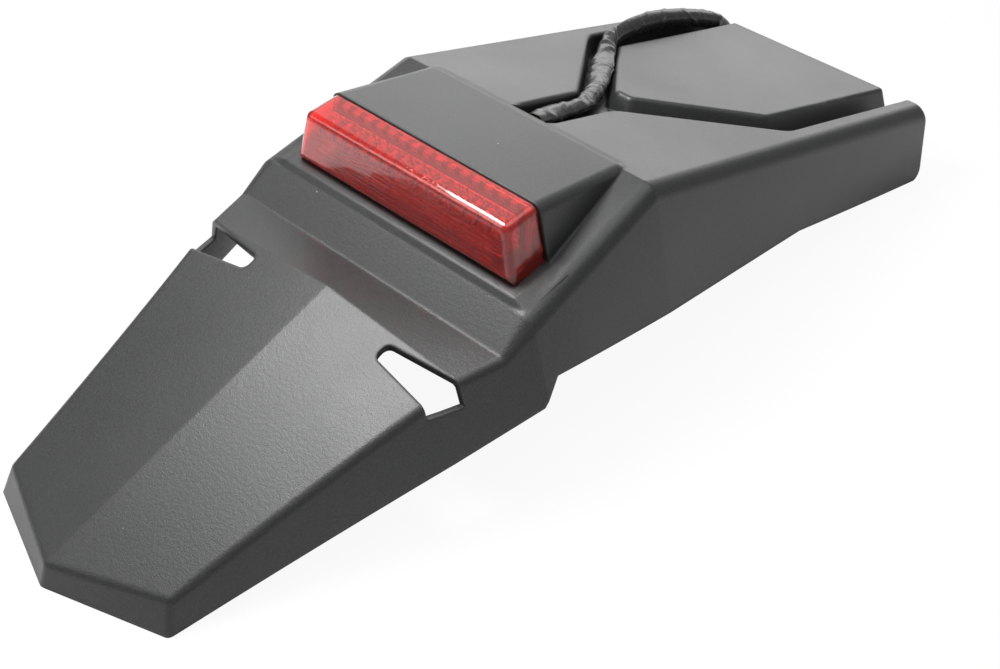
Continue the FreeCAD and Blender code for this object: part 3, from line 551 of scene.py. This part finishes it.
def buildCornerShade(values):
    # how open a spot is, so that grooves and inside corners get painted shade
    group, start, end = newGroup(
        "paintedCornerShade",
        [("Reach", "NodeSocketFloat", 0.005)],
        [("Open", "NodeSocketFloat")],
    )
    settings = {"samples": values["samples"]}
    inputs = {"Distance": start.outputs["Reach"]}
    shade = addNode(group, "ShaderNodeAmbientOcclusion", settings, inputs).outputs["AO"]
    group.links.new(spread(group, shade, values["closed"], values["open"]), end.inputs["Open"])
    return group


def buildDust(values):
    # a few light specks that settle on the part
    group, start, end = newGroup(
        "dustSpecks",
        [("Place", "NodeSocketVector", (0, 0, 0)), ("Specks Per Metre", "NodeSocketFloat", 70)],
        [("Speck", "NodeSocketFloat")],
    )
    inputs = {"Vector": start.outputs["Place"], "Scale": start.outputs["Specks Per Metre"]}
    cells = addNode(group, "ShaderNodeTexVoronoi", None, inputs)
    near = spread(group, cells.outputs["Distance"], values["outside"], values["inside"])
    parts = addNode(group, "ShaderNodeSeparateColor", None, {"Color": cells.outputs["Color"]})
    picked = mathNode(group, "GREATER_THAN", parts.outputs["Red"], values["bare"])
    group.links.new(mathNode(group, "MULTIPLY", near, picked), end.inputs["Speck"])
    return group


grainGroup = buildGrain(grainShape)
edgeGroup = buildEdges(edgeShape)
cornerGroup = buildCornerShade(cornerShape)
dustGroup = buildDust(dustShape)


def newMaterial(name):
    material = bpy.data.materials.new(name)
    material.use_nodes = True
    tree = material.node_tree
    shader = tree.nodes["Principled BSDF"]
    place = addNode(tree, "ShaderNodeTexCoord").outputs["Object"]
    return material, tree, shader, place


def placeGroup(tree, group, inputs):
    return addNode(tree, "ShaderNodeGroup", {"node_tree": group}, inputs)


def bumpInto(tree, shader, height, depth, normal=None):
    bump = addNode(tree, "ShaderNodeBump", None, {"Height": height, "Distance": depth})
    if normal:
        tree.links.new(normal, bump.inputs["Normal"])
    tree.links.new(bump.outputs["Normal"], shader.inputs["Normal"])


def grainedPlastic(name, values):
    material, tree, shader, place = newMaterial(name)
    grain = placeGroup(tree, grainGroup, {"Place": place, "Pits Per Metre": values["pits"]})
    edges = placeGroup(tree, edgeGroup, {"Radius": values["edge"]})
    dust = placeGroup(tree, dustGroup, {"Place": place})
    opened = placeGroup(tree, cornerGroup, {"Reach": values["cornerReach"]}).outputs["Open"]
    # painted highlight: edges lightened, except in closed corners
    edgeHighlight = mathNode(tree, "MULTIPLY", edges.outputs["Edge"], opened)
    edgeHighlight = mathNode(tree, "MULTIPLY", edgeHighlight, values["edgeHighlight"])
    speck = mathNode(tree, "MULTIPLY", dust.outputs["Speck"], values["dust"])
    colour = mixColour(tree, grain.outputs["Shade"], values["dark"], values["light"])
    colour = mixColour(tree, edgeHighlight, colour, values["edgeHighlightColour"])
    # painted shade: closed corners and grooves darkened
    colour = mixColour(tree, opened, values["corner"], colour)
    colour = mixColour(tree, speck, colour, values["speck"])
    tree.links.new(colour, shader.inputs["Base Color"])
    # the hood and deck are polished smoother than the tail
    along = addNode(tree, "ShaderNodeSeparateXYZ", None, {"Vector": place}).outputs["Y"]
    front = spread(tree, along, *values["smoothFrom"])
    polish = mathNode(tree, "MULTIPLY", front, values["smoother"])
    rough = spread(tree, grain.outputs["Handling"], 0, 1, *values["roughness"])
    rough = mathNode(tree, "SUBTRACT", rough, polish)
    rough = mathNode(tree, "ADD", rough, spread(tree, opened, 0, 1, values["cornerRough"], 0))
    tree.links.new(rough, shader.inputs["Roughness"])
    share = spread(tree, front, 0, 1, 1, values["frontGrain"])
    height = mathNode(tree, "MULTIPLY", grain.outputs["Height"], share)
    bumpInto(tree, shader, height, values["depth"], edges.outputs["Normal"])
    return material


def dress(node, material):
    slots = nodes[node].data.materials
    slots.clear()
    slots.append(material)


# shell
shellLook = {
    "pits": 1700,
    "dark": (0.014, 0.0145, 0.0143, 1),
    "light": (0.032, 0.033, 0.0325, 1),
    # painted highlight colour and its share, for edges
    "edgeHighlightColour": (0.07, 0.07, 0.069, 1),
    "edgeHighlight": 0.5,
    "speck": (0.5, 0.5, 0.48, 1),
    "dust": 0.6,
    "edge": 0.0018,
    # painted shade colour for closed corners and grooves
    "corner": (0.006, 0.006, 0.006, 1),
    "cornerReach": 0.006,
    "cornerRough": 0.25,
    "roughness": (0.38, 0.44),
    "smoothFrom": (-0.032, -0.022),
    "smoother": 0.06,
    "frontGrain": 0.4,
    "depth": 0.0001,
}
dress("fender_shell", grainedPlastic("shellPlastic", shellLook))


# lamp back: black where it carries the screws, a bright metallised tone where the lens covers it, with
# painted light and shade in a pocket for each diode
housingLook = {
    "pits": 900,
    "dark": (0.02, 0.02, 0.02, 1),
    "light": (0.035, 0.035, 0.036, 1),
    # bright: metallised tone, painted as a highlight in each pocket; shadow: painted shade between the
    # pockets
    "bright": (0.7, 0.66, 0.64, 1),
    "shadow": (0.09, 0.06, 0.06, 1),
    "brightTo": -0.0262,
    "cell": 0.0069,
    "flutes": 5,         # in each pocket
    "fluteFloor": 0.35,
    "crest": 0.7,        # part of the wave that is not cut off
    "roughness": (0.35, 0.5),
    "depth": 0.00004,
}


def housingMaterial(values):
    material, tree, shader, place = newMaterial("housingPlastic")
    grain = placeGroup(tree, grainGroup, {"Place": place, "Pits Per Metre": values["pits"]})
    along = addNode(tree, "ShaderNodeSeparateXYZ", None, {"Vector": place}).outputs["Y"]
    covered = mathNode(tree, "LESS_THAN", along, values["brightTo"])
    # painted light and shade: one bright pocket for each diode, shaded between, with fine flutes of
    # painted light and shade across it
    across = addNode(tree, "ShaderNodeSeparateXYZ", None, {"Vector": place}).outputs["X"]
    waves = []
    for count in (1, values["flutes"]):
        turns = mathNode(tree, "MULTIPLY", across, math.tau * count / values["cell"])
        wave = mathNode(tree, "COSINE", turns)
        waves.append(spread(tree, wave, -values["crest"], values["crest"]))
    flutes = spread(tree, waves[1], 0, 1, values["fluteFloor"], 1)
    pocket = mathNode(tree, "MULTIPLY", waves[0], flutes)
    inside = mixColour(tree, pocket, values["shadow"], values["bright"])
    colour = mixColour(tree, grain.outputs["Shade"], values["dark"], values["light"])
    tree.links.new(mixColour(tree, covered, colour, inside), shader.inputs["Base Color"])
    rough = spread(tree, grain.outputs["Handling"], 0, 1, *values["roughness"])
    tree.links.new(rough, shader.inputs["Roughness"])
    bumpInto(tree, shader, grain.outputs["Height"], values["depth"])
    return material


dress("lamp_housing", housingMaterial(housingLook))
print("shell and housing dressed")

# lens
lensLook = {
    "colour": (0.95, 0.055, 0.045, 1),
    "clear": 0.92,
    "coat": 0.68,
    "gloss": 0.0,
    "ior": 1.49,
    "edge": 0.002,
    "streaks": (70, 70, 1500),  # level prisms across the rear and the ends
    "arcs": (900, 90, 90),      # fine flutes on the top
    "arcShare": 0.6,
    "topFrom": (0.6, 0.9),      # how far up a face points where the top begins
    "haze": 60,
    "roughness": (0.03, 0.08),
    "depth": 0.0001,
}


def lensMaterial(values):
    material, tree, shader, place = newMaterial("redLens")
    edges = placeGroup(tree, edgeGroup, {"Radius": values["edge"]})
    facing = addNode(tree, "ShaderNodeNewGeometry").outputs["Normal"]
    upward = addNode(tree, "ShaderNodeSeparateXYZ", None, {"Vector": facing}).outputs["Z"]
    top = spread(tree, mathNode(tree, "ABSOLUTE", upward), *values["topFrom"])
    heights = []
    for key in ("streaks", "arcs"):
        inputs = {0: place, 1: values[key]}
        stretched = addNode(tree, "ShaderNodeVectorMath", {"operation": "MULTIPLY"}, inputs)
        heights.append(noiseAt(tree, stretched.outputs[0], 1, 2, 0.5))
    level = mathNode(tree, "MULTIPLY", heights[0], mathNode(tree, "SUBTRACT", 1, top))
    flutes = mathNode(tree, "MULTIPLY", heights[1], mathNode(tree, "MULTIPLY", top, values["arcShare"]))
    height = mathNode(tree, "ADD", level, flutes)
    bumpInto(tree, shader, height, values["depth"], edges.outputs["Normal"])
    haze = noiseAt(tree, place, values["haze"], 3)
    rough = spread(tree, haze, *noiseSpan, *values["roughness"])
    tree.links.new(rough, shader.inputs["Roughness"])
    shader.inputs["Base Color"].default_value = values["colour"]
    shader.inputs["Transmission Weight"].default_value = values["clear"]
    shader.inputs["Specular IOR Level"].default_value = values["gloss"]
    shader.inputs["Coat Weight"].default_value = values["coat"]
    shader.inputs["IOR"].default_value = values["ior"]
    return material


dress("lamp_lens", lensMaterial(lensLook))
print("lens dressed")


# lamp inside, wires, sleeve and connector
def simpleFinish(name, colours, roughness, scale, depth, metallic=0.0, gloss=0.5):
    material, tree, shader, place = newMaterial(name)
    mottle = noiseAt(tree, place, scale, 4)
    colour = mixColour(tree, spread(tree, mottle, *noiseSpan), *colours)
    tree.links.new(colour, shader.inputs["Base Color"])
    tree.links.new(spread(tree, mottle, *noiseSpan, *roughness), shader.inputs["Roughness"])
    shader.inputs["Metallic"].default_value = metallic
    shader.inputs["Specular IOR Level"].default_value = gloss
    bumpInto(tree, shader, mottle, depth)
    return material


diodes = {
    "count": 15,
    "around": 20,
    "flange": 0.00275,
    "flangeHeight": 0.0009,
    "domeSteps": 6,
    "domeTo": 0.97,      # share of the quarter turn, leaving a small flat tip
}
wires = {
    "radius": 0.0009,
    "around": 14,
    "steps": 8,
    "inside": 0.009,     # length in the mouth of the sleeve
    "headSteps": 4,      # points of the lead that give its first direction
    "straightEnd": 0.004,
    "gather": (0.8, 0.6),  # share of their spread left before and in the mouth
    "mouthAhead": 0.002,
    "sag": 0.0003,
}


def latheRings(profile, base, axis, around):
    side = axis.orthogonal().normalized()
    up = axis.cross(side)
    return [ringAt(base + axis * height, side, up, radius, around) for height, radius in profile]


def diodeRow(values):
    low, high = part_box("leds")
    radius = (high[2] - low[2]) / 2
    reach = high[1] - low[1]
    pitch = (high[0] - low[0] - 2 * radius) / (values["count"] - 1)
    flange, rise = values["flange"], values["flangeHeight"]
    profile = [(0, flange), (rise, flange), (rise, radius)]
    for step in range(values["domeSteps"] + 1):
        turn = math.pi / 2 * step / values["domeSteps"] * values["domeTo"]
        profile.append((reach - radius + radius * math.sin(turn), radius * math.cos(turn)))
    parts = []
    for number in range(values["count"]):
        base = Vector((low[0] + radius + number * pitch, high[1], (low[2] + high[2]) / 2))
        rings = latheRings(profile, base, Vector((0, -1, 0)), values["around"])
        parts.append(tubeMesh(f"diode{number}", rings))
    return joinMeshes("diodeRow", parts)


# reflector: a stepped cup round each diode, joined by a plate before the board
cups = {
    "count": 15,
    "around": 28,
    "thick": 0.0003,
    # distance from the open end and radius, step by step
    "steps": [
        (0, 0.00335), (0.0022, 0.00335), (0.0023, 0.00305),
        (0.0044, 0.00305), (0.0045, 0.0028), (0.0072, 0.0028),
    ],
    "plate": 0.0007,
}


def cupRow(values):
    low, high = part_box("reflector")
    ledLow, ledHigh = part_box("leds")
    radius = (ledHigh[2] - ledLow[2]) / 2
    pitch = (ledHigh[0] - ledLow[0] - 2 * radius) / (values["count"] - 1)
    inner = [(height, wide - values["thick"]) for height, wide in reversed(values["steps"])]
    profile = values["steps"] + inner + values["steps"][:1]
    level = (ledLow[2] + ledHigh[2]) / 2
    parts = []
    for number in range(values["count"]):
        base = Vector((ledLow[0] + radius + number * pitch, low[1], level))
        rings = latheRings(profile, base, Vector((0, 1, 0)), values["around"])
        parts.append(tubeMesh(f"cup{number}", rings, False, False))
    bevel = values["thick"] / 2
    plate = values["plate"]
    parts.append(blockMesh((low[0], high[1] - plate, low[2]), high, bevel))
    parts.append(blockMesh(low, (high[0], high[1], low[2] + plate), bevel))
    return joinMeshes("reflectorCups", parts, smooth=False)


def wireMesh(node, values):
    # runs from the housing through the port and on into the mouth of the sleeve
    low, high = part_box(node)
    across = (low[0] + high[0]) / 2
    level = (low[2] + high[2]) / 2
    mouth = Vector(lead["route"][0])
    inner = mouth + (leadPath[values["headSteps"]] - leadPath[0]).normalized() * values["inside"]
    before, within = values["gather"]
    route = [
        (across, low[1], level),
        (across, (low[1] + high[1]) / 2, level),
        (across, high[1] - values["straightEnd"], level),
        (across * before, mouth.y + values["mouthAhead"], level - values["sag"]),
        (across * within, inner.y, inner.z),
    ]
    path = splinePoints(node + "Line", route, values["steps"])
    radius, around = values["radius"], values["around"]
    rings = [ringAt(place, side, up, radius, around) for place, head, side, up in framesAlong(path)]
    mesh = tubeMesh(node + "Run", rings)
    smoothFaces(mesh)
    return mesh


standIns = {
    "leds": ("diodeRow", diodeRow(diodes), "led_resin"),
    "reflector": ("reflectorCups", cupRow(cups), "reflector_plating"),
}
for shade in ("yellow", "black", "red"):
    node = f"wire_{shade}"
    standIns[node] = (f"wireRun_{shade}", wireMesh(node, wires), node)
pieces = {"cable_sleeve": leadSleeve, "lead_connector": leadConnector}
for node, (name, mesh, slot) in standIns.items():
    piece = addObject(name, mesh)
    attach(piece, "root")
    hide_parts(node)
    pieces[node] = piece

insulation = {"roughness": (0.35, 0.5), "scale": 900, "depth": 0.00003}
finishes = {
    "reflector": {
        "name": "plating",
        "colours": ((0.55, 0.55, 0.56, 1), (0.7, 0.7, 0.71, 1)),
        "roughness": (0.2, 0.35),
        "scale": 500,
        "depth": 0.00002,
        "metallic": 0.6,
    },
    "led_board": {
        "name": "boardLacquer",
        "colours": ((0.03, 0.12, 0.05, 1), (0.05, 0.2, 0.08, 1)),
        "roughness": (0.3, 0.5),
        "scale": 900,
        "depth": 0.00003,
    },
    "leds": {
        "name": "diodeResin",
        "colours": ((0.75, 0.08, 0.06, 1), (0.85, 0.16, 0.12, 1)),
        "roughness": (0.08, 0.16),
        "scale": 400,
        "depth": 0.00001,
    },
    "lamp_screws": {
        "name": "zincSteel",
        "colours": ((0.5, 0.5, 0.52, 1), (0.62, 0.62, 0.64, 1)),
        "roughness": (0.25, 0.4),
        "scale": 1500,
        "depth": 0.00002,
        "metallic": 1.0,
    },
    "wire_yellow": {
        "name": "yellowInsulation",
        "colours": ((0.6, 0.42, 0.05, 1), (0.75, 0.55, 0.08, 1)),
        **insulation,
    },
    "wire_black": {
        "name": "blackInsulation",
        "colours": ((0.015, 0.015, 0.015, 1), (0.03, 0.03, 0.03, 1)),
        **insulation,
    },
    "wire_red": {
        "name": "redInsulation",
        "colours": ((0.35, 0.02, 0.02, 1), (0.5, 0.04, 0.03, 1)),
        **insulation,
    },
    "cable_sleeve": {
        "name": "sleeveVinyl",
        "colours": ((0.022, 0.022, 0.023, 1), (0.038, 0.038, 0.04, 1)),
        "roughness": (0.22, 0.32),
        "scale": 300,
        "depth": 0.00003,
        "gloss": 0.32,
    },
    "lead_connector": {
        "name": "connectorNylon",
        "colours": ((0.02, 0.02, 0.021, 1), (0.035, 0.035, 0.036, 1)),
        "roughness": (0.4, 0.55),
        "scale": 1200,
        "depth": 0.00003,
    },
}
for node, values in finishes.items():
    material = simpleFinish(**values)
    if node in pieces:
        pieces[node].data.materials.append(material)
    else:
        dress(node, material)
print("lamp parts dressed")
